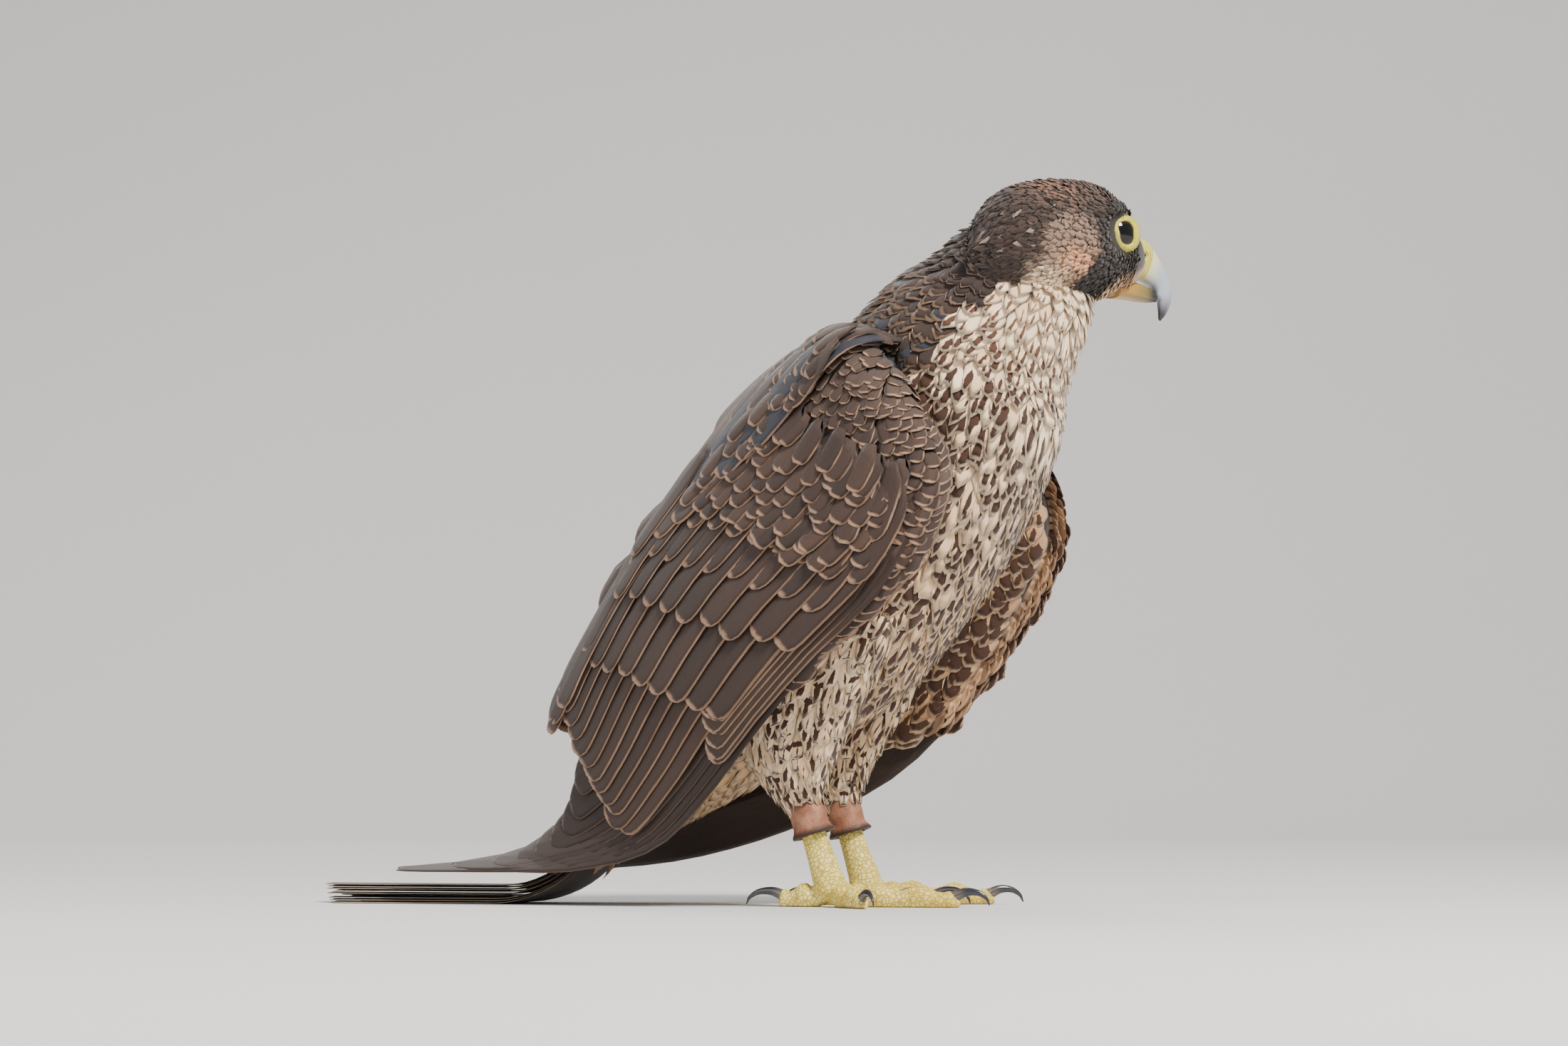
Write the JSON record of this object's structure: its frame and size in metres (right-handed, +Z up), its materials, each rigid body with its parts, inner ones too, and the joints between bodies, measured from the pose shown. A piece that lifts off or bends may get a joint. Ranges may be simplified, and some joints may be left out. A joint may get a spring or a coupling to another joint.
{
  "type": "peregrine falcon",
  "caption": "Peregrine falcon in brown first-year plumage, standing with drooped wings, head turned to its left and leather anklets.",
  "frame": {"origin": "on the ground, under the middle of the bird's outline as seen from above", "axes": "+X the way the breast faces, +Y the bird's left, +Z up"},
  "size_m": [0.3536, 0.1558, 0.2934],
  "materials": {
    "body_feather": "soft matt",
    "flight_feather": "matt with a faint sheen",
    "yellow_skin": "satin, scaly",
    "horn": "polished horn",
    "claw": "polished horn",
    "eye": "wet gloss",
    "leather": "worn, matt"
  },
  "bodies": {
    "root": {"torso": "body_feather", "neck": "body_feather", "head": "body_feather", "eye_right": "eye", "eye_left": "eye", "cere": "yellow_skin", "bill_upper": "horn", "bill_lower": "horn", "thigh_right": "body_feather", "shank_right": "yellow_skin", "anklet_right": "leather", "toe_right_hind": "yellow_skin", "claw_right_hind": "claw", "toe_right_inner": "yellow_skin", "claw_right_inner": "claw", "toe_right_middle": "yellow_skin", "claw_right_middle": "claw", "toe_right_outer": "yellow_skin", "claw_right_outer": "claw", "thigh_left": "body_feather", "shank_left": "yellow_skin", "anklet_left": "leather", "toe_left_hind": "yellow_skin", "claw_left_hind": "claw", "toe_left_inner": "yellow_skin", "claw_left_inner": "claw", "toe_left_middle": "yellow_skin", "claw_left_middle": "claw", "toe_left_outer": "yellow_skin", "claw_left_outer": "claw", "tail": "flight_feather", "wing_right": "flight_feather", "wing_left": "flight_feather"}
  },
  "joints": []
}
